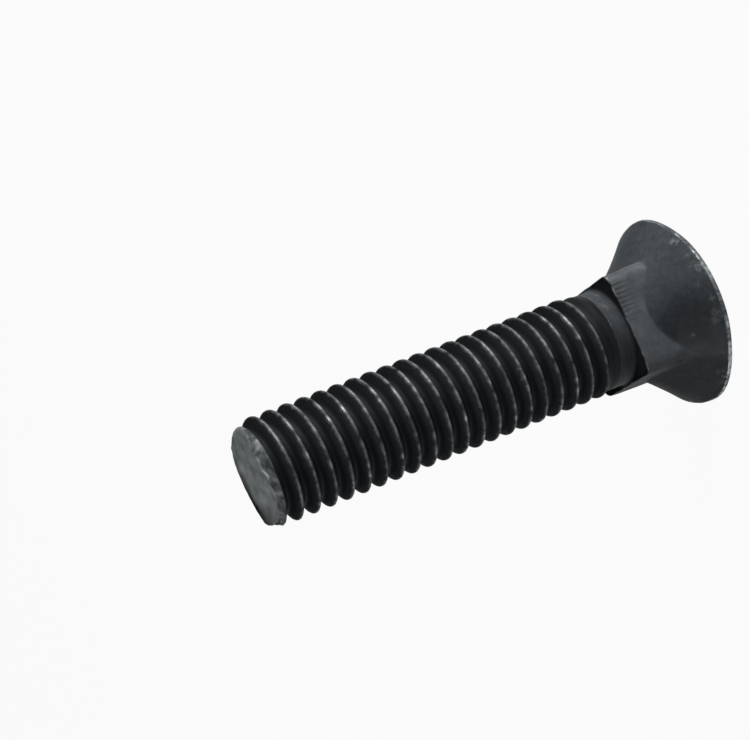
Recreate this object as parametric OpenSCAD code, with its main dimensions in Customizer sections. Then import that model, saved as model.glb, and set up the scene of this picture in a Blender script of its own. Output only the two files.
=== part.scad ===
// Plow bolt: flat countersunk head, square neck, short plain shank and a coarse right-hand thread.
// Forged and thread-rolled in one piece of steel. Millimetres, standing on the flat of its head:
// the origin is the centre of that flat and +Z runs up the shank to the threaded end.

/* [Head] */
// Diameter of the head across its rim
head_d = 17.5; // [14:0.1:22]
// Height of the narrow upright land at the rim
rim_land = 0.35; // [0.2:0.05:1.5]
// Break between the flat of the head and the rim
rim_break = 0.12; // [0.05:0.01:0.2]
// Included angle of the countersunk cone, in degrees
cone_angle = 80; // [60:1:100]

/* [Square neck] */
// Width across the flats, at the end of the neck
neck_side = 9.5; // [9.2:0.1:12]
// Diameter across the rounded corners
neck_corner_d = 13; // [11:0.1:16]
// Length of each flat along its middle, from the cone to the end of the neck
neck_len = 2.25; // [1.5:0.05:6]
// Forging draft of each flat, in degrees
neck_draft = 2; // [0:0.5:4]
// Break round the end of the neck
neck_break = 0.2; // [0.1:0.05:0.5]

/* [Shank] */
// Diameter of the plain shank
shank_d = 8.9; // [8.2:0.1:9.4]
// Plain length between the neck and the thread
shank_len = 1.5; // [0.8:0.1:12]

/* [Thread] */
// Diameter over the crests
thread_d = 9.5; // [8.6:0.02:10.6]
// Distance from crest to crest
thread_pitch = 1.5875; // [1.25:0.0125:1.8]
// Width of the flat on each crest
crest_flat = 0.22; // [0.1:0.02:0.5]
// Width of the flat in each root
root_flat = 0.24; // [0.1:0.02:0.45]
// Angle between the two flanks, in degrees
flank_angle = 60; // [55:1:65]
// Threaded length, run-out and bevelled end included
thread_len = 33.9; // [16:0.1:40]
// Length over which the groove fades out at the shank
runout_len = 2; // [1:0.1:4]
// Turn at which a crest leaves the shank, in degrees
thread_turn = 227; // [0:1:359]

/* [End] */
// Diameter of the flat end
end_d = 8; // [6.4:0.1:8.4]
// Length of the bevel round the end
bevel_len = 0.7; // [0.4:0.1:2]
// Depth of the shallow cup that rolling leaves in the end
end_cup = 0.15; // [0.05:0.05:0.6]

/* [Hidden] */

oxide_black = [0.19, 0.20, 0.21];
break_angle = 45;
round_sides = 96;
thread_sides = 40;
overlap = 0.4;

head_r = head_d / 2;
flat_r = neck_side / 2;
shank_r = shank_d / 2;
crest_r = thread_d / 2;
end_r = end_d / 2;
cone_rise = 1 / tan(cone_angle / 2);
cone_end_z = cone_z(flat_r);
neck_end_z = cone_end_z + neck_len;
thread_start_z = neck_end_z + shank_len;
bolt_len = thread_start_z + thread_len;
thread_depth = (thread_pitch - crest_flat - root_flat) / (2 * tan(flank_angle / 2));
root_r = crest_r - thread_depth;

// Height at which the countersunk cone has shrunk to radius r
function cone_z(r) = rim_land + (head_r - r) * cone_rise;

// The head: flat face, broken edge, land and cone, turned about the axis
module head() {
    inner_r = flat_r - overlap;
    rotate_extrude($fn = round_sides)
        polygon([
            [0, 0],
            [head_r - rim_break, 0],
            [head_r, rim_break],
            [head_r, rim_land],
            [inner_r, cone_z(inner_r)],
            [0, cone_z(inner_r)]
        ]);
}

// Round bar that the neck is squared from: its wall leaves the rounded corners
module neck_bar() {
    corner_r = neck_corner_d / 2;
    rotate_extrude($fn = round_sides)
        polygon([
            [0, rim_land],
            [corner_r, rim_land],
            [corner_r, neck_end_z - neck_break],
            [corner_r - neck_break, neck_end_z],
            [0, neck_end_z]
        ]);
}

// Everything outside one drafted flat, and outside the broken edge at its end
module outside_flat() {
    reach = neck_corner_d + neck_end_z;
    translate([flat_r, -reach, neck_end_z])
        rotate([0, -neck_draft, 0])
            translate([0, 0, -reach])
                cube([reach, 2 * reach, 2 * reach]);
    translate([flat_r - neck_break, -reach, neck_end_z])
        rotate([0, break_angle, 0])
            translate([-reach, 0, 0])
                cube([2 * reach, 2 * reach, reach]);
}

// The square neck that keeps the bolt from turning in its plough share
module square_neck() {
    difference() {
        neck_bar();
        for (turn = [0 : 90 : 270])
            rotate(turn) outside_flat();
    }
}

// The plain shank, started inside the neck
module shank() {
    translate([0, 0, cone_end_z])
        cylinder(d = shank_d, h = thread_start_z - cone_end_z, $fn = round_sides);
}

// Where the four edges of the thread form lie, in pitches from the middle of a crest
form_phase = [
    -(thread_pitch - root_flat) / 2,
    -crest_flat / 2,
    crest_flat / 2,
    (thread_pitch - root_flat) / 2
] / thread_pitch;
form_edges = len(form_phase);
thread_floor_z = thread_start_z - overlap;
spare_turns = 2;
form_rows = form_edges * ceil(thread_len / thread_pitch + 2 * spare_turns);
snap = thread_pitch / thread_sides;

// Height of edge row j in column i: each row climbs one pitch in a full turn
function row_z(i, j) = thread_start_z
    + thread_pitch * (floor(j / form_edges) - spare_turns + form_phase[j % form_edges]
        + i / thread_sides - thread_turn / 360);

// How far the groove has grown at height z, from 0 at the shank to 1
function grown(z) = min(1, max(0, (z - thread_start_z) / runout_len));

// Radius of edge row j at height z: crest or root, faded at the shank and bevelled at the end
function row_r(j, z) = let(on_crest = j % form_edges == 1 || j % form_edges == 2)
    min(
        shank_r - snap + ((on_crest ? crest_r : root_r) - shank_r + snap) * grown(z),
        end_r + (bolt_len - z) * (crest_r - end_r) / bevel_len
    );

function ring_point(r, i, z) = [
    r * cos(360 * i / thread_sides),
    r * sin(360 * i / thread_sides),
    z
];

// Index of the point at column i, row j: rows past either end gather on that end's ring
function row_index(i, j) = i == thread_sides
    ? row_index(0, j + form_edges)
    : let(z = row_z(i, j))
        z < thread_floor_z + snap ? i
        : z > bolt_len - snap ? thread_sides + i
        : 2 * thread_sides + 1 + i * form_rows + j;

// A triangle is kept only where its three corners differ
function is_whole(face) = face[0] != face[1] && face[1] != face[2] && face[2] != face[0];

// The rolled thread with its core: one closed skin whose rows follow the helix
module thread() {
    columns = [0 : thread_sides - 1];
    points = concat(
        [for (i = columns) ring_point(shank_r - snap, i, thread_floor_z)],
        [for (i = columns) ring_point(end_r, i, bolt_len)],
        [[0, 0, bolt_len - end_cup]],
        [for (i = columns) for (j = [0 : form_rows - 1]) ring_point(row_r(j, row_z(i, j)), i, row_z(i, j))]
    );
    sides = [
        for (i = columns) for (j = [0 : form_rows - 1])
            let(
                a = row_index(i, j),
                b = row_index(i + 1, j),
                c = row_index(i + 1, j + 1),
                d = row_index(i, j + 1)
            )
            for (face = [[a, c, b], [a, d, c]])
                if (is_whole(face)) face
    ];
    floor_cap = [for (i = columns) i];
    end_cap = [
        for (i = columns)
            [2 * thread_sides, thread_sides + (i + 1) % thread_sides, thread_sides + i]
    ];
    polyhedron(points = points, faces = concat(sides, [floor_cap], end_cap));
}

// The whole bolt, forged as one piece
module plow_bolt() {
    color(oxide_black)
        union() {
            head();
            square_neck();
            shank();
            thread();
        }
}

plow_bolt();
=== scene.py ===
import bpy
import numpy as np
from mathutils import Matrix, Vector


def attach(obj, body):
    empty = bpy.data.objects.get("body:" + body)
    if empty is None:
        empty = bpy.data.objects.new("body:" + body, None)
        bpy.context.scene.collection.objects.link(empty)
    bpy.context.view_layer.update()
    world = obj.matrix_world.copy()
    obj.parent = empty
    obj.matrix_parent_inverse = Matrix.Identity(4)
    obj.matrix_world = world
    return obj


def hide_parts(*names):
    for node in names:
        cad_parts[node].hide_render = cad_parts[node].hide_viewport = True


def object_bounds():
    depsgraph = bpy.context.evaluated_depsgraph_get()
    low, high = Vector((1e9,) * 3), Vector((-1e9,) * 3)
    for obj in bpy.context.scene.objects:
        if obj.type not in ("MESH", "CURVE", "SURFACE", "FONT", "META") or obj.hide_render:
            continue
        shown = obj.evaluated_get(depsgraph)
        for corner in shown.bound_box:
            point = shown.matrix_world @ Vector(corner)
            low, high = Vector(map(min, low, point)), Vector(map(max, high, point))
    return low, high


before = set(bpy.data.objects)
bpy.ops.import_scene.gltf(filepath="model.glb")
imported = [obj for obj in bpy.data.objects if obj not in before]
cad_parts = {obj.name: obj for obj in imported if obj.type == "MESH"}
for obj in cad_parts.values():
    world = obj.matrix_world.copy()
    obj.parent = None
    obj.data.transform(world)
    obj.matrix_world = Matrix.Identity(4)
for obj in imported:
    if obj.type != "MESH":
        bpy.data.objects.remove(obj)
cad_low, cad_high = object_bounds()

# The bolt: one piece of carbon steel, its head and square neck forged in a die and its thread rolled.
# The whole is black-oxidised, mottled on the forged head and darker on the rolled thread, and the steel
# shows along the crests, round the rim and on the sheared end.

# Light and shade are also painted into the finish: darker recesses, a darker flat and far lip, paler
# corners, sides and flanks, and highlights on the shank and crests
# Columns of points round the axis, crowded at the four corners of the neck; sizes are in millimetres
MM = 0.001
COLUMNS = 200
CORNER_CROWDING = 0.35
turn = np.linspace(0.0, 2 * np.pi, COLUMNS, endpoint=False)
angle = turn + CORNER_CROWDING / 4 * np.sin(4 * turn)


def rows(radius, height, wear_and_highlight=0.0, rolled=0.0, bare_steel_and_light=0.0, marks=0.0):
    """Rows of points round the axis: radius, height, and for each point how rubbed it is, how dark its
    oxide, how much steel shows and how marked it is; the first three also hold painted light and shade.
    """
    return np.stack(np.broadcast_arrays(radius, height, wear_and_highlight, rolled, bare_steel_and_light, marks, angle)[:6])


def smooth_step(x):
    """Smooth ramp from 0 at x = 0 to 1 at x = 1: three times the square less twice the cube."""
    x = np.clip(x, 0.0, 1.0)
    return x * x * (3 - 2 * x)


def ripple(first, second, waves, seed):
    """Sum of a few cosine waves over two coordinates, scaled to about -1 to 1. Each wave has its rate along
    either coordinate in radians, whole round the axis so that it closes, and a phase from the seed."""
    rng = np.random.default_rng(seed)
    total = 0.0
    for first_rate, second_rate in waves:
        phase = rng.uniform(0, 2 * np.pi)
        total = total + np.cos(first_rate * first + second_rate * second + phase)
    return total / np.sqrt(len(waves))


def uneven(wave, middle, swing, least, most):
    """Strength that swings about a middle value with a wave, cut off at a least and a most value."""
    return np.clip(middle + swing * wave, least, most)


def turned_from(around, degrees):
    """Angle from a direction in degrees to each point, from minus half a turn to half a turn."""
    return np.mod(around - np.radians(degrees) + np.pi, 2 * np.pi) - np.pi


def humps(around, places):
    """Sum of bell curves round the axis, each with its direction and width in degrees and its height."""
    return sum(h * np.exp(-(turned_from(around, at) / np.radians(w)) ** 2) for at, w, h in places)


# The head: a flat with turned rings, a broken edge and a narrow land. Its rim isn't quite round and is
# knocked bright in places: both lists give direction and width in degrees, and size or strength
head_r = (cad_high[0] - cad_low[0]) / 2 / MM
ring_spacing = 0.45
ring_depth = 0.025
rim_break = 0.12
rim_land = 0.35
rim_round = 0.15
cone_half_angle = np.radians(40.0)
OUT_OF_ROUND = [(-42, 16, -0.13), (-128, 14, -0.10), (-165, 16, 0.15), (-8, 14, 0.08), (75, 30, -0.06)]
RIM_KNOCKS = [
    (-66, 14, 0.15), (-92, 6, 0.4), (-36, 18, -0.4), (-132, 30, 0.8), (60, 14, 0.7), (155, 10, 0.6),
]
out_of_round = humps(angle, OUT_OF_ROUND)


def head_face():
    """Flat of the head from its middle outwards: turned rings, as a cosine of the radius, which fade out
    near the rim, while the rim's own unevenness fades in."""
    innermost = 0.15
    rows_per_ring = 3
    plain_margin = 0.5
    ring_fade = 0.4
    uneven_margin = 1.4
    uneven_fade = 1.2
    ridge_wear = 0.45
    radius = np.arange(innermost, head_r - rim_break, ring_spacing / rows_per_ring)[:, None]
    hollow = 0.5 - 0.5 * np.cos(2 * np.pi * radius / ring_spacing)
    hollow = hollow * smooth_step((head_r - plain_margin - radius) / ring_fade)
    scuffs = ripple(angle, radius, [(3, 1.0), (7, -2.0), (12, 1.7)], 2)
    scuffed = uneven(scuffs, middle=0.5, swing=0.4, least=0.0, most=1.2)
    face_r = radius + out_of_round * smooth_step((radius - head_r + uneven_margin) / uneven_fade)
    return rows(face_r, ring_depth * hollow, wear_and_highlight=ridge_wear * (1 - hollow) * scuffed)


def rim():
    """Rim: a quarter round from the flat, the upright land, and a rounded edge over to the cone."""
    dent_depth = 0.025
    worn_back = 0.04
    bareness = 0.09
    quarter = np.linspace(0.0, np.pi / 2, 4)
    lean = np.linspace(0.0, cone_half_angle, 4)
    low_r = head_r - rim_break * (1 - np.sin(quarter))
    low_z = rim_break * (1 - np.cos(quarter))
    high_r = head_r - rim_round * (1 - np.cos(lean))
    high_z = rim_land + rim_round * (np.sin(lean) - np.tan(cone_half_angle / 2))
    radius = np.concatenate([low_r, high_r])[:, None]
    height = np.concatenate([low_z, high_z])[:, None]
    share = height / rim_land
    dented = dent_depth * ripple(angle, 0.0, [(2, 0), (5, 0), (9, 0), (14, 0), (23, 0)], 3)
    scuffs = ripple(angle, 0.0, [(3, 0), (7, 0), (13, 0), (23, 0)], 33)
    patchy = uneven(scuffs, middle=0.7, swing=0.4, least=0.25, most=1.3)
    both_edges = 0.75 + 0.25 * np.cos(2 * np.pi * share)
    rubbed = (patchy + humps(angle, RIM_KNOCKS)) * both_edges
    land_r = radius + out_of_round + (dented - worn_back) * share
    return rows(land_r, height + 0.5 * dented * share, wear_and_highlight=rubbed, bare_steel_and_light=bareness * patchy)


# The cone and the square neck: four drafted flats, bevelled towards round corners that are blunt where
# they run into the cone
neck_half = 4.75
neck_length = 2.25
neck_draft = np.radians(2.0)
neck_edge = 0.12
corner_reach = 6.31
corner_round = 0.14
corner_blunting = 0.22
blunt_below = 4.6
blunt_length = 1.4
corner_bevel_start = 3.75
corner_bevel_slope = np.tan(np.radians(13.0))
flat_blend = 0.1
corner_blend = 1.1
cone_hollow = 0.09
cone_height = 4.5
neck_end = rim_land + (head_r - neck_half) / np.tan(cone_half_angle) + neck_length


def soft_max(a, b, reach):
    """The larger of a and b, with a rounded hollow between them where they differ by less than reach."""
    share = np.clip(0.5 + 0.5 * (a - b) / reach, 0.0, 1.0)
    return b + (a - b) * share + reach * share * (1 - share)


def from_flat(around):
    """Angle to the middle of the nearest flat of the neck, from -45 to 45 degrees."""
    return np.mod(around + np.pi / 4, np.pi / 2) - np.pi / 4


def across_flat(around):
    """Distance along a flat from its middle: the flat's distance from the axis times the tangent."""
    return neck_half * np.tan(from_flat(around))


def corner_share(around):
    """How far out towards a corner a point of the neck lies: 0 on the flat, 1 at the corner."""
    out = np.abs(across_flat(around)) - corner_bevel_start
    return np.clip(out / (neck_half - corner_bevel_start), 0.0, 1.0)


def neck_radius(around, height):
    """Radius of a square whose flats are bevelled towards its round corners: the least of three distances,
    to the flat's line, to the bevel's line and to the corner's arc, which draws in close to the cone."""
    drafted = (neck_end - height) * np.tan(neck_draft)
    off = np.abs(from_flat(around))
    flat = (neck_half + drafted) / np.cos(off)
    bevelled = neck_half + drafted + corner_bevel_slope * corner_bevel_start
    bevelled = bevelled / (np.cos(off) + corner_bevel_slope * np.sin(off))
    arc = corner_reach + drafted - corner_blunting * smooth_step((blunt_below - height) / blunt_length)
    return -soft_max(-np.minimum(flat, bevelled), -arc, corner_round)


def die_marks(around, height):
    """How strong the fine ridges along one side of each flat are: they fade across it and along it, and
    are strongest on one side of the bolt."""
    fade_from = -1.6
    fade_width = 4.0
    stop = 4.1
    stop_width = 0.3
    mark_length = 2.3
    strongest = np.radians(-65.0)
    across = across_flat(around)
    by_corner = smooth_step((across - fade_from) / fade_width) * smooth_step((stop - across) / stop_width)
    by_end = smooth_step((height - neck_end + mark_length) / mark_length)
    by_side = 0.6 + 0.4 * np.cos(around - strongest)
    return by_corner * by_end * by_side


def spots(around, radius, height, places):
    """Sum of round bell-shaped spots, each with its height up the axis, direction, size and strength."""
    total = 0.0
    for up_axis, direction, size, strength in places:
        aside = turned_from(around, direction) * radius
        total = total + strength * np.exp(-(aside ** 2 + (height - up_axis) ** 2) / size ** 2)
    return total


# Scuffs on the cone, most of them near the rim: height, direction in degrees, size and strength
SCUFFS = [
    (0.85, -51, 0.45, 0.5), (0.72, -54, 0.35, 0.5), (0.90, -65, 0.22, 0.6), (0.82, -74, 0.50, 0.5),
    (0.68, -77, 0.35, 0.5), (0.80, -97, 0.30, 0.5), (0.90, -107, 0.40, 0.5), (1.00, -111, 0.35, 0.5),
    (2.66, -118, 0.22, 0.8), (0.80, -147, 0.60, 0.4), (0.55, -154, 0.50, 0.5), (1.66, -23, 0.25, 0.5),
    (1.30, -85, 0.40, 0.35), (0.80, 12, 0.40, 0.5), (1.20, 47, 0.50, 0.5), (0.60, 70, 0.40, 0.6),
    (0.90, 110, 0.45, 0.5), (2.20, 128, 0.30, 0.5), (0.70, 163, 0.40, 0.5), (1.10, 178, 0.30, 0.5),
]

# Painted shade in the four recesses between cone and flats, drawn as darker oxide where the neck shades the
# cone: height, direction, size and strength
RECESS_SHADE = [(2.5, -101, 2.6, 0.6), (2.6, -8, 2.2, 0.3), (2.8, 83, 2.4, 0.5), (3.0, 172, 2.6, 0.8)]

# Painted light: corners of the neck and sides of the cone drawn paler, as more steel showing, where light
# would fall on them: direction and width in degrees, and strength
LIT_CORNERS = [(-45, 40, 1.0), (135, 40, 0.8)]
LIT_CONE_SIDES = [(-138, 26, 1.0), (40, 30, 0.6)]


def forged_wear(radius, height):
    """How rubbed cone and neck are: a little all over, in patches that fade away from the rim, and at each
    of the scuffs."""
    plain_wear = 0.12
    rim_wear = 0.3
    rim_reach = 0.5
    scuff_wear = 0.7
    patches = ripple(angle, height, [(5, 0.9), (11, -2.1), (17, 3.0), (27, -4.0)], 36)
    patchy = uneven(patches, middle=0.2, swing=1.0, least=0.0, most=1.4)
    rubbed = plain_wear + rim_wear * patchy * np.exp(-(height - rim_land) / rim_reach)
    return rubbed + scuff_wear * spots(angle, radius, height, SCUFFS)


def forged_bare_and_light(height, on_square):
    """How much steel shows on them: on the neck a little all over and more on the marked side of each flat,
    with painted light at two of its corners, and painted light on two sides of the cone, which fades
    towards the neck."""
    plain_bare = 0.04
    marked_bare = 0.065
    marked_from = -3.0
    marked_fade = 3.0
    corner_light = 0.07
    corner_fade = 0.5
    side_light = 0.08
    side_end = 4.5
    side_fade = 2.0
    by_marks = marked_bare * smooth_step((across_flat(angle) - marked_from) / marked_fade)
    # Painted light at two corners of the neck and on two sides of the cone
    by_corner = corner_light * smooth_step(corner_share(angle) / corner_fade) * humps(angle, LIT_CORNERS)
    by_side = side_light * humps(angle, LIT_CONE_SIDES) * smooth_step((side_end - height) / side_fade)
    return on_square * (plain_bare + by_marks + by_corner) + (1 - on_square) * by_side


def shaded_flat():
    """Painted shade on the one flat that faces away from the main lamp, drawn as dark oxide: even across
    it, and faded out past its corners.
    """
    direction = 180
    half_width = 47.0
    fade = 6.0
    darkness = 0.85
    off = np.degrees(np.abs(turned_from(angle, direction)))
    return darkness * smooth_step((half_width - off) / fade)


def cone_and_neck():
    """Countersunk cone and square neck: the larger of the two radii, blended where they meet. The cone is
    hollow by half a sine wave up its height, and forging leaves the whole a little uneven."""
    above_land = 0.08
    row_count = 66
    rim_carry = 0.8
    forged_depth = 0.018
    square_fade = 0.25
    darkest_recess_shade = 0.8
    height = np.linspace(rim_land + above_land, neck_end - neck_edge, row_count)[:, None]
    above_rim = height - rim_land
    hollowed = cone_hollow * np.sin(np.pi * np.clip(above_rim / cone_height, 0.0, 1.0))
    cone = head_r - above_rim * np.tan(cone_half_angle) - hollowed
    cone = cone + out_of_round * np.exp(-above_rim / rim_carry)
    square = neck_radius(angle, height)
    blend = flat_blend + (corner_blend - flat_blend) * corner_share(angle)
    forged = forged_depth * ripple(angle, height, [(3, 1.1), (5, -0.8), (7, 1.9), (11, 2.3), (2, 2.9)], 5)
    radius = soft_max(cone, square, blend) + forged
    on_square = smooth_step((square - cone) / square_fade)
    rubbed = forged_wear(radius, height)
    # Painted shade: darker oxide in the recesses where the neck shades the cone
    recess_shade = np.clip(spots(angle, radius, height, RECESS_SHADE), 0.0, darkest_recess_shade)
    # Painted shade on the flat that faces away from the main lamp
    scale = recess_shade * (1 - on_square) + shaded_flat() * on_square
    burnished_and_lit = forged_bare_and_light(height, on_square) * (1 - shaded_flat())
    marks = die_marks(angle, height) * on_square
    return rows(radius, height, wear_and_highlight=rubbed, rolled=scale, bare_steel_and_light=burnished_and_lit, marks=marks)


# The end face of the neck and the plain shank that stands on it
shank_r = 4.45
shank_length = 1.5
neck_foot = 0.3
thread_start = neck_end + shank_length

# Knocks along the end edge of the neck, rubbed bright: direction and width in degrees, and strength
EDGE_KNOCKS = [
    (-45, 5, 1.0), (-56, 2, 1.2), (-60, 2, 1.2), (-86, 2.5, 1.3), (-104, 2, 0.5), (-121, 2.5, 0.9),
    (-131, 4, 1.1), (-12, 3, 0.8), (20, 3, 1.0), (44, 5, 0.9), (80, 3, 1.0), (133, 5, 1.0), (170, 3, 0.8),
]

# Painted highlights on the shank, drawn as polished spots, with height, direction, size and strength, and
# painted light on the sides of it that are less dark, with direction and width in degrees and strength
POLISHED_HIGHLIGHTS = [(8.2, -80, 0.6, 1.0), (8.0, -62, 0.4, 0.5)]
SHANK_LIT_SIDES = [(-50, 42, 0.5), (120, 50, 0.4)]


def neck_end_face(start):
    """End of the neck: a quarter round, the flat annulus and the small fillet at the foot of the shank."""
    edge_wave = 0.03
    edge_wear = 0.15
    wear_turn = 0.7
    face_darkness = 0.82
    foot_paleness = 0.7
    quarter = np.linspace(0.0, np.pi / 2, 5)[1:, None]
    wave = edge_wave * ripple(angle, 0.0, [(9, 0), (14, 0), (23, 0), (31, 0)], 8)
    edge_r = start - neck_edge * (1 - np.cos(quarter))
    edge_z = neck_end - neck_edge * (1 - np.sin(quarter)) + wave * np.sin(quarter)
    rubbed = (edge_wear + humps(angle, EDGE_KNOCKS)) * np.cos(wear_turn * quarter)
    inner = shank_r + neck_foot
    share = np.linspace(0.0, 1.0, 5)[1:, None]
    face_r = edge_r[-1] + (inner - edge_r[-1]) * share
    face_z = edge_z[-1] + (neck_end - edge_z[-1]) * share
    foot_r = inner - neck_foot * np.sin(quarter)
    foot_z = neck_end + neck_foot * (1 - np.cos(quarter))
    edge = rows(edge_r, edge_z, wear_and_highlight=rubbed, rolled=np.sin(quarter))
    face = rows(face_r, face_z, rolled=face_darkness)
    foot = rows(foot_r, foot_z, rolled=1 - foot_paleness * np.sin(quarter))
    return np.concatenate([edge, face, foot], axis=1)


def plain_shank():
    """Plain shank: a cylinder from the foot fillet to the start of the thread, with faint drawn rings."""
    row_count = 9
    ring_height = 0.008
    drawn_bare = 0.05
    drawn_swing = 0.02
    highlight_level = 0.05
    darkness = 0.65
    height = np.linspace(neck_end + neck_foot, thread_start, row_count)[1:, None]
    rings = ring_height * ripple(0 * angle, height, [(0, 9.0), (0, 15.0), (0, 23.0)], 12)
    lines = ripple(angle, height, [(1, 3.0), (3, 7.0), (5, -11.0), (2, 17.0)], 14)
    drawn = drawn_bare + drawn_swing * lines
    # Painted highlight: polished spots where light falls on the shank
    highlighted = highlight_level * spots(angle, shank_r, height, POLISHED_HIGHLIGHTS)
    scuffs = ripple(angle, height, [(2, 1.0), (5, 3.0), (9, -4.0)], 13)
    rubbed = uneven(scuffs, middle=0.1, swing=0.2, least=0.0, most=0.5)
    # Painted light: the oxide drawn less dark on two sides of the shank
    dark_oxide_less_light = darkness - humps(angle, SHANK_LIT_SIDES)
    pale_and_highlight = np.maximum(drawn + highlighted, 0.0) * (1 - dark_oxide_less_light)
    return rows(shank_r + rings, height, wear_and_highlight=rubbed, rolled=dark_oxide_less_light, bare_steel_and_light=pale_and_highlight)


# Lower skin, from the middle of the head to the start of the thread, row by row
head_and_neck = np.concatenate([head_face(), rim(), cone_and_neck()], axis=1)
lower = np.concatenate([head_and_neck, neck_end_face(head_and_neck[0, -1]), plain_shank()], axis=1)

# The sheared end: bites out of its lip, places where the lip is pressed down, burrs along it, and painted
# shade on one side of the face, at the lip's edge and along the far lip, each with its direction and width
# in degrees and its size
bolt_len = cad_high[2] / MM
end_r = 4.13
end_cup = 0.08
lip_drop = 0.09
face_drop = 0.05
lip_roughness = 0.03
torn_depth = 0.03
END_ROWS = 20
INNERMOST_SHARE = 0.04
LEAST_BARE = 0.03
LIP_BITES = [(-68, 20, 1.0), (-91, 9, 0.85), (-115, 6, 0.4), (160, 30, -0.28), (65, 25, -0.1)]
LIP_DIPS = [(102, 42, 0.17), (-155, 30, 0.22), (5, 22, 0.08)]
BURRS = [(-57, 2.5, 1.3), (-65, 2.5, 1.1), (-107, 3, 1.2), (-143, 7, 1.0), (40, 4, 0.4), (150, 5, 0.5)]
SHADED_END_SIDES = [(155, 35, 0.5)]
SHADED_LIP_EDGE = [(-25, 30, 0.7), (30, 25, 0.4)]
FAR_LIP_SHADE = [(112, 42, 1.0)]
TORN_WAVES = [(0.9, 0.5), (-0.7, 1.3), (1.9, -1.1), (1.4, 2.4), (-2.9, 1.6), (3.6, 2.8)]
dips = humps(angle, LIP_DIPS)
burrs = humps(angle, BURRS)
lip_r = end_r - humps(angle, LIP_BITES)
lip_r = lip_r + lip_roughness * ripple(angle, 0.0, [(8, 0), (13, 0), (21, 0), (34, 0)], 21)
lip_z = bolt_len - lip_drop - dips + lip_drop * np.minimum(burrs, 1.0)

# Rows from the lip in to the middle: a shallow dish, torn in lumps, that falls to the pressed-down lip.
# Places and widths along a row's radius are shares of the lip's radius
lip_width = 0.08
fall_from = 0.7
fall_width = 0.3
lip_shade_from = 0.45
lip_shade_width = 0.5
burr_at = 0.98
burr_width = 0.06
burr_wear = 0.3
share = np.linspace(1.0, INNERMOST_SHARE, END_ROWS)[:, None]
lumps = torn_depth * ripple(lip_r * share * np.cos(angle), lip_r * share * np.sin(angle), TORN_WAVES, 23)
fallen = dips * np.clip((share - fall_from) / fall_width, 0.0, 1.0)
dish_z = bolt_len - face_drop - end_cup * (1 - share ** 2) + lumps - fallen
inside = smooth_step((1 - share) / lip_width)
end_z = np.minimum(lip_z * (1 - inside) + dish_z * inside, bolt_len)
end_wear = burr_wear * burrs * np.exp(-((share - burr_at) / burr_width) ** 2)
# Painted shade along the far lip of the end, drawn as dark oxide
far_lip_shade = smooth_step((share - lip_shade_from) / lip_shade_width) * humps(angle, FAR_LIP_SHADE)

# Painted shade: a darker side fades slowly towards the middle, and a darker place on the lip's edge stays
# close to it
end_shade = share ** 2 * humps(angle, SHADED_END_SIDES) + share ** 16 * humps(angle, SHADED_LIP_EDGE)
end_bare_less_shade = np.clip(1.0 - end_shade - far_lip_shade, LEAST_BARE, 1.0)
upper = rows(lip_r * share, end_z, wear_and_highlight=end_wear, rolled=far_lip_shade, bare_steel_and_light=end_bare_less_shade)

# The thread between them: a 60 degree form with rounded crests and roots, in rows that follow the helix
# one pitch up in each turn, with spare turns past both ends. The rows of half a form lie at these shares
# of the pitch from its crest
crest_r = 4.75
pitch = 1.5875
crest_width = 0.22
root_width = 0.24
crest_round = 0.08
root_round = 0.12
flank_angle = np.radians(30.0)
thread_depth = (pitch - crest_width - root_width) / 2 / np.tan(flank_angle)
thread_turn = np.radians(227.0)
runout = 2.4
SPARE_BELOW = 2
SPARE_TURNS = 3
HALF_FORM = np.array([0.05, 0.09, 0.13, 0.20, 0.32, 0.43])


def thread_form(offset):
    """Depth below the crest at an axial offset from its middle: a straight flank whose two ends are bent
    into the flat crest and the flat root as hyperbolas."""
    flank = (np.abs(offset) - crest_width / 2) / np.tan(flank_angle)
    rise = 0.5 * (flank + np.sqrt(flank ** 2 + crest_round ** 2))
    left = thread_depth - rise
    return thread_depth - 0.5 * (left + np.sqrt(left ** 2 + root_round ** 2))


form_offset = pitch * np.concatenate([[-0.5], -HALF_FORM[::-1], [0.0], HALF_FORM])
FORM_ROWS = len(form_offset)
turns = int(np.ceil((bolt_len - thread_start) / pitch)) + SPARE_TURNS
row_offset = np.tile(form_offset, turns)[:, None]
row_turn = np.repeat(np.arange(turns) - SPARE_BELOW, FORM_ROWS)[:, None]
row_z = thread_start + row_offset + (row_turn + (angle - thread_turn) / (2 * np.pi)) * pitch
grown = smooth_step((row_z - thread_start) / runout)
crest_line = shank_r + (crest_r - shank_r) * smooth_step((row_z - thread_start) / pitch)

# Nicks in the crests: height, direction in degrees, size and strength
nick_depth = 0.06
NICKS = [
    (31.4, -70, 0.18, 0.6), (39.2, -95, 0.20, 1.2), (12.3, -85, 0.20, 1.0), (18.6, -104, 0.20, 1.0),
    (25.1, -56, 0.18, 0.7), (24.7, -121, 0.20, 1.0), (18.7, -92, 0.13, 0.9), (33.0, 20, 0.25, 1.0),
    (21.0, 140, 0.25, 1.0),
]
nicked = spots(angle, crest_r, row_z, NICKS)
formed = crest_line - thread_form(row_offset) * grown - nick_depth * nicked

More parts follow.
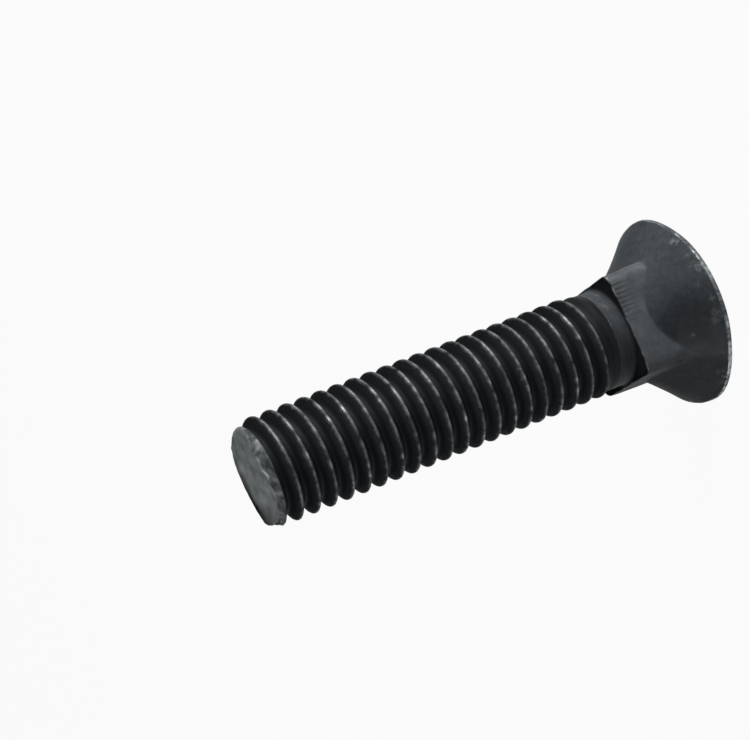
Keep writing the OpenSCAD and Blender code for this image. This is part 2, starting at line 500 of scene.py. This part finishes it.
# The bevel from the lip out to the crests: it follows the lip's running mean, is jagged only close to the
# lip, and is dented and mottled. Its lumps have height, direction, size and strength
bevel_r = 4.5
bevel_length = 0.6
bevel_fade = 0.1
jagged_reach = 0.12
bevel_dent = 0.03
lump_height = 0.12
knocked_from = 0.15
bevel_paleness = 0.22
mottle_paleness = 0.13
lump_paleness = 0.8
MEAN_COLUMNS = 9
BEVEL_LUMPS = [
    (42.32, -59, 0.22, 1.2), (42.46, -66, 0.18, 1.0), (42.32, -109, 0.2, 0.8), (42.35, -124, 0.2, 0.8),
    (42.37, -151, 0.2, 0.9), (42.42, -159, 0.22, 1.0), (42.36, -168, 0.2, 0.8),
]
BEVEL_MOTTLE = [(4, 5.0), (9, -10.0), (14, 13.0), (21, -9.0), (31, 15.0), (37, -19.0)]
BEVEL_SIDES = [(-60, 12, 0.12), (-93, 13, -0.17), (-130, 16, 0.1)]
lip_mean = np.mean([np.roll(lip_r, shift) for shift in range(-MEAN_COLUMNS, MEAN_COLUMNS + 1)], axis=0)
below_lip = lip_z - row_z
bevel_slope = (bevel_r - lip_mean) / (lip_z - bolt_len + bevel_length)
jagged = (lip_r - lip_mean) * np.exp(-np.maximum(below_lip, 0.0) / jagged_reach)
dents = bevel_dent * ripple(angle, row_z, [(6, 9.0), (10, -14.0), (15, 11.0), (22, -8.0)], 24)
lump = spots(angle, bevel_r, row_z, BEVEL_LUMPS)
knocked = (dents + lump_height * lump) * smooth_step(below_lip / knocked_from)
bevel = lip_mean + below_lip * bevel_slope + jagged + knocked
row_r = np.minimum(formed, bevel)
on_bevel = smooth_step((formed - bevel) / bevel_fade)
mottle = ripple(angle, row_z, BEVEL_MOTTLE, 25)
bevel_bare = bevel_paleness + mottle_paleness * mottle + lump_paleness * lump
bevel_bare = np.clip(bevel_bare + humps(angle, BEVEL_SIDES), LEAST_BARE, 1.0)

# Rubbing along the crests: a soft line, patchy, and stronger and wider on two sides of the bolt, which is
# partly wear and partly a painted highlight where the light falls
RUBBED_AND_LIT_SIDES = [(-63, 22, 1.0), (120, 28, 0.8)]
head_band = 0.20
head_band_more = 0.11
end_band = 0.21
line_wear = 0.80
lit_side_wear = 0.28
rubbed_and_lit_side = humps(angle, RUBBED_AND_LIT_SIDES)
scuffs = ripple(angle, row_z, [(5, 0.9), (9, -1.7), (14, 2.3), (19, -3.1), (27, 1.3)], 31)
crest_band = np.where(row_offset < 0, head_band + head_band_more * rubbed_and_lit_side, end_band)
crest_wear_and_highlight = np.exp(-(row_offset / crest_band) ** 2)
crest_wear_and_highlight = crest_wear_and_highlight * uneven(scuffs, middle=0.86, swing=0.25, least=0.3, most=1.5)
crest_wear_and_highlight = crest_wear_and_highlight * (line_wear + lit_side_wear * rubbed_and_lit_side)
thread_wear_and_highlight = (crest_wear_and_highlight * grown + nicked) * (1 - on_bevel)

# Painted light on the flanks: the oxide is drawn paler on the flanks towards the head on those two sides,
# and on the flanks towards the end on a third side, where light would fall: each flank lies at its own
# offset from the crest
lit_flank_direction = np.radians(-150.0)
head_flank = -0.5
end_flank = 0.22
flank_width = 0.2
head_flank_light = 0.9
end_flank_light = 0.5
plain_flank_light = 0.04
third_side = smooth_step(0.5 + 0.6 * np.cos(angle - lit_flank_direction))
on_end_flank = np.exp(-((row_offset - end_flank) / flank_width) ** 2)
on_head_flank = np.exp(-((row_offset - head_flank) / flank_width) ** 2)
painted_flank_light = (plain_flank_light + end_flank_light * third_side) * on_end_flank
painted_flank_light = (painted_flank_light + head_flank_light * rubbed_and_lit_side * on_head_flank) * grown
thread_oxide_less_light = (1 - painted_flank_light) * (1 - on_bevel)
thread = rows(row_r, row_z, wear_and_highlight=thread_wear_and_highlight, rolled=thread_oxide_less_light, bare_steel_and_light=bevel_bare * on_bevel)

# One list of points: pole, lower skin, thread, upper skin, pole; rows past an end gather on its ring
SNAP = 0.03
skin = np.concatenate([lower, thread, upper], axis=1)
index = 1 + np.arange(skin.shape[1] * COLUMNS).reshape(-1, COLUMNS)
thread_first = lower.shape[1]
upper_first = thread_first + thread.shape[1]
lower_index, thread_index, upper_index = np.split(index, [thread_first, upper_first])
thread_index = np.where(row_z < thread_start + SNAP, lower_index[-1], thread_index)
thread_index = np.where(row_z > lip_z - SNAP, upper_index[0], thread_index)


def quads_between(index, next_column):
    """Four corners of each cell of a grid of points, anticlockwise from outside."""
    return np.stack([index[:-1], next_column[:-1], next_column[1:], index[1:]], axis=-1).reshape(-1, 4)


# The thread's last column meets its first one turn further on; cells that lost a corner become triangles
past_end = np.repeat(upper_index[:1, :1], FORM_ROWS, axis=0)
across_seam = np.vstack([thread_index[FORM_ROWS:, :1], past_end])
quads = np.vstack([
    quads_between(lower_index, np.roll(lower_index, -1, axis=1)),
    quads_between(thread_index, np.hstack([thread_index[:, 1:], across_seam])),
    quads_between(upper_index, np.roll(upper_index, -1, axis=1)),
])
ordered = np.sort(quads, axis=1)
repeats = (ordered[:, 1:] == ordered[:, :-1]).sum(axis=1)
whole = quads[repeats == 0]
halved = quads[repeats == 1]
triangles = halved[halved != np.roll(halved, 1, axis=1)].reshape(-1, 3)

# A fan of triangles closes the middle of the head and the middle of the end
first_ring = lower_index[0]
last_ring = upper_index[-1]
last_point = index[-1, -1] + 1
head_fan = np.stack([0 * first_ring, np.roll(first_ring, -1), first_ring], axis=-1)
end_fan = np.stack([0 * last_ring + last_point, last_ring, np.roll(last_ring, -1)], axis=-1)
triangles = np.vstack([triangles, head_fan, end_fan])
head_pole = np.zeros((6, 1))
end_pole = upper[:, -1].mean(axis=1)[:, None] * np.array([[0], [1], [0], [0], [1], [0]])
radius, height, wear_and_highlight, rolled, bare_steel_and_light, marks = np.hstack([head_pole, skin.reshape(6, -1), end_pole])
around = np.concatenate([[0.0], np.tile(angle, len(index)), [0.0]])
points = np.stack([radius * np.cos(around), radius * np.sin(around), height], axis=-1) * MM

# Points that no face uses fall out, and the rest keep their order
used = np.zeros(len(points), dtype=bool)
used[whole.ravel()] = True
used[triangles.ravel()] = True
renumber = np.cumsum(used) - 1
faces = renumber[whole].tolist() + renumber[triangles].tolist()
mesh = bpy.data.meshes.new("plow_bolt_skin")
mesh.from_pydata(points[used].tolist(), [], faces)
mesh.polygons.foreach_set("use_smooth", np.ones(len(faces), dtype=bool))
layers = {"wear_and_highlight": wear_and_highlight, "rolled": rolled, "bare_steel_and_light": bare_steel_and_light, "marks": marks, "across": across_flat(around)}
for name, values in layers.items():
    attribute = mesh.attributes.new(name, "FLOAT", "POINT")
    attribute.data.foreach_set("value", values[used].astype(np.float32))
mesh.validate()
mesh.update()
bolt = bpy.data.objects.new("plow_bolt_skin", mesh)
bpy.context.collection.objects.link(bolt)

# Colours of the finishes, with painted shade for the grooves of the die marks, the spacing of the die
# marks, and the depth of the relief in metres
FORGED_OXIDE = (0.058, 0.067, 0.075, 1.0)
FORGED_PALE = (0.083, 0.095, 0.106, 1.0)
GROOVE_SHADE = (0.026, 0.030, 0.034, 1.0)
ROLLED_OXIDE = (0.0062, 0.0078, 0.0100, 1.0)
SHEARED_STEEL = (0.76, 0.82, 0.82, 1.0)
SHEARED_DARK = (0.40, 0.43, 0.43, 1.0)
WORN_STEEL = (0.37, 0.39, 0.40, 1.0)
MATT_SHEEN = 0.2
MARK_SPACING = 0.43
GROOVE_DEPTH = 0.03 * MM
GRAIN_DEPTH = 0.02 * MM


def add_node(tree, kind, values=(), **settings):
    """New shader node of this kind, with settings as its properties and values on its inputs by name."""
    node = tree.nodes.new(kind)
    for name, value in settings.items():
        setattr(node, name, value)
    for name, value in values:
        node.inputs[name].default_value = value
    return node


def black_oxide():
    """Oxide that is pale and mottled where forged and dark on the thread, with steel showing where it is
    rubbed or sheared: each is a mix by one of the bolt's own layers, broken up by noise. The layers also
    carry painted light and shade, and the grooves of the die marks are painted darker as shade."""
    material = bpy.data.materials.new("black_oxide_steel")
    material.use_nodes = True
    tree = material.node_tree
    link = tree.links.new
    shader = tree.nodes["Principled BSDF"]
    place = add_node(tree, "ShaderNodeTexCoord").outputs["Object"]

    def noise(scale, detail):
        """Noise of this scale on the bolt's own coordinates."""
        values = [("Scale", scale), ("Detail", detail), ("Roughness", 0.6)]
        node = add_node(tree, "ShaderNodeTexNoise", values)
        link(place, node.inputs["Vector"])
        return node.outputs["Fac"]

    def ranged(value, low, high, to_low=0.0, to_high=1.0, clamp=True):
        """Value taken from the range low to high onto the range to_low to to_high."""
        values = [("From Min", low), ("From Max", high), ("To Min", to_low), ("To Max", to_high)]
        node = add_node(tree, "ShaderNodeMapRange", values, clamp=clamp)
        link(value, node.inputs["Value"])
        return node.outputs["Result"]

    def layer(name):
        """The bolt's own attribute of this name."""
        return add_node(tree, "ShaderNodeAttribute", attribute_name=name).outputs["Fac"]

    def mixed(low, high, share):
        """Mix from low to high by share; each is a plain colour or what another node gives."""
        node = add_node(tree, "ShaderNodeMix", data_type="RGBA")
        for name, colour in (("A", low), ("B", high)):
            if isinstance(colour, tuple):
                node.inputs[name].default_value = colour
            else:
                link(colour, node.inputs[name])
        link(share, node.inputs["Factor"])
        return node.outputs["Result"]

    def computed(operation, first, second=None):
        """Result of one operation on one value or two."""
        node = add_node(tree, "ShaderNodeMath", operation=operation)
        link(first, node.inputs[0])
        if second is not None:
            link(second, node.inputs[1])
        return node.outputs["Value"]

    def bumped(height, depth, strength, below=None):
        """Normal tilted by a height from 0 to 1 that stands for a depth, on top of another such normal."""
        node = add_node(tree, "ShaderNodeBump", [("Strength", strength), ("Distance", depth)])
        link(height, node.inputs["Height"])
        if below is not None:
            link(below, node.inputs["Normal"])
        return node.outputs["Normal"]

    patches = noise(420.0, 5.0)
    grain = noise(4200.0, 3.0)

    phase = ranged(layer("across"), 0.0, MARK_SPACING, 0.0, 2 * np.pi, clamp=False)
    wave = computed("SINE", computed("ADD", phase, ranged(patches, 0.3, 0.7, -1.2, 1.2)))
    groove = computed("MULTIPLY", ranged(wave, -0.6, 1.0), layer("marks"))

    fine = ranged(noise(1900.0, 4.0), 0.35, 0.65, -0.4, 0.6)
    mottled = computed("ADD", ranged(patches, 0.35, 0.65, 0.0, 0.7), fine)
    forged = mixed(FORGED_OXIDE, FORGED_PALE, mottled)
    oxide = mixed(forged, ROLLED_OXIDE, layer("rolled"))
    sheared = mixed(SHEARED_DARK, SHEARED_STEEL, ranged(noise(600.0, 4.0), 0.35, 0.62))
    dressed = mixed(oxide, sheared, layer("bare_steel_and_light"))
    # Painted shade in the grooves of the die marks, on top of their bump
    dressed = mixed(dressed, GROOVE_SHADE, ranged(groove, 0.0, 1.0, 0.0, 0.55))

    worn = mixed(ranged(noise(2600.0, 2.0), 0.22, 0.76), noise(1300.0, 3.0), layer("rolled"))
    rubbed = ranged(computed("MULTIPLY", layer("wear_and_highlight"), worn), 0.15, 0.75)
    link(mixed(dressed, WORN_STEEL, rubbed), shader.inputs["Base Color"])
    link(ranged(rubbed, 0.0, 1.0, 0.0, 0.9), shader.inputs["Metallic"])
    smoother = ranged(rubbed, 0.0, 1.0, 1.0, 0.65)
    matt = computed("MULTIPLY", ranged(patches, 0.3, 0.7, 0.62, 0.72), smoother)
    link(matt, shader.inputs["Roughness"])

    grooved = bumped(ranged(groove, 0.0, 1.0, 1.0, 0.0), GROOVE_DEPTH, 1.0)
    link(bumped(grain, GRAIN_DEPTH, 0.3, grooved), shader.inputs["Normal"])
    shader.inputs["Specular IOR Level"].default_value = MATT_SHEEN
    return material


mesh.materials.append(black_oxide())
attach(bolt, "root")
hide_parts("plow_bolt")

# The floor: a wide sheet of matt white board that the bolt stands on, and that fills the camera's view.
# To the eye and in reflections most of its white is its own, so the bolt's shadow on it stays pale.
FLOOR_HALF = 1.2
BOARD_MATT = (0.9, 0.9, 0.9, 1.0)
BOARD_WHITE = (1.0, 1.0, 1.0, 1.0)
OWN_WHITE = 0.95
floor_mesh = bpy.data.meshes.new("floor")
floor_corners = [(x * FLOOR_HALF, y * FLOOR_HALF, 0.0) for x, y in ((-1, -1), (1, -1), (1, 1), (-1, 1))]
floor_mesh.from_pydata(floor_corners, [], [(0, 1, 2, 3)])
floor = bpy.data.objects.new("floor", floor_mesh)
bpy.context.collection.objects.link(floor)


def white_board():
    """Matt white, mixed with its own white for camera, glossy and transmission rays."""
    material = bpy.data.materials.new("white_board")
    material.use_nodes = True
    tree = material.node_tree
    link = tree.links.new
    tree.nodes.clear()
    output = add_node(tree, "ShaderNodeOutputMaterial")
    matt = add_node(tree, "ShaderNodeBsdfDiffuse", [("Color", BOARD_MATT)])
    glow = add_node(tree, "ShaderNodeEmission", [("Color", BOARD_WHITE), ("Strength", 1.0)])
    ray = add_node(tree, "ShaderNodeLightPath")
    seen = ray.outputs["Is Camera Ray"]
    for kind in ("Is Glossy Ray", "Is Transmission Ray"):
        either = add_node(tree, "ShaderNodeMath", operation="MAXIMUM")
        link(seen, either.inputs[0])
        link(ray.outputs[kind], either.inputs[1])
        seen = either.outputs["Value"]
    share = add_node(tree, "ShaderNodeMath", operation="MULTIPLY")
    share.inputs[1].default_value = OWN_WHITE
    link(seen, share.inputs[0])
    both = add_node(tree, "ShaderNodeMixShader")
    link(share.outputs["Value"], both.inputs["Fac"])
    link(matt.outputs["BSDF"], both.inputs[1])
    link(glow.outputs["Emission"], both.inputs[2])
    link(both.outputs["Shader"], output.inputs["Surface"])
    return material


floor_mesh.materials.append(white_board())

# The light: a large soft box low on one side of the bolt, a weaker one across from it to open the shaded
# side, and a dim even room. Distances and sizes are in metres, and powers in watts.
BOX_DISTANCE = 0.40
BOX_SIZE = 0.24
SIDE_POWER = 1.55
FILL_POWER = 0.42
ROOM_WHITE = (1.0, 1.0, 1.0, 1.0)
ROOM_LEVEL = 0.02
bolt_middle = Vector((0, 0, bolt_len / 2 * MM))


def soft_box(name, towards, power):
    """Square area lamp at one distance from the middle of the bolt in this direction, turned to face it."""
    lamp = bpy.data.lights.new(name, "AREA")
    lamp.shape = "SQUARE"
    lamp.size = BOX_SIZE
    lamp.energy = power
    holder = bpy.data.objects.new(name, lamp)
    holder.location = bolt_middle + Vector(towards).normalized() * BOX_DISTANCE
    holder.rotation_euler = Vector(towards).to_track_quat("Z", "Y").to_euler()
    holder.visible_camera = False
    bpy.context.collection.objects.link(holder)


soft_box("side_box", (0.85, -0.50, 0.16), SIDE_POWER)
soft_box("fill_box", (-0.99, 0.0, 0.14), FILL_POWER)
room = bpy.data.worlds.new("room")
room.use_nodes = True
room.node_tree.nodes["Background"].inputs["Color"].default_value = ROOM_WHITE
room.node_tree.nodes["Background"].inputs["Strength"].default_value = ROOM_LEVEL
bpy.context.scene.world = room

# The camera: a long lens above the floor on the side of one flat, rolled over so that the standing bolt
# lies slantwise in the picture, thread to the lower left.
LENS = 88.99
SENSOR_WIDTH = 36.0
NEAR_LIMIT = 0.01
eye = Vector((-15.114, -146.736, 86.428)) * MM
aim = Vector((4.980, 2.040, 28.179)) * MM
roll = np.radians(110.81)
forward = (aim - eye).normalized()
level = forward.cross(Vector((0, 0, 1))).normalized()
up = level.cross(forward) * np.cos(roll) + level * np.sin(roll)
right = forward.cross(up)
lens = bpy.data.cameras.new("camera")
lens.lens = LENS
lens.sensor_width = SENSOR_WIDTH
lens.clip_start = NEAR_LIMIT
camera = bpy.data.objects.new("camera", lens)
camera.matrix_world = Matrix.Translation(eye) @ Matrix((right, up, -forward)).transposed().to_4x4()
bpy.context.collection.objects.link(camera)
bpy.context.scene.camera = camera
bpy.context.scene.view_settings.view_transform = "Standard"
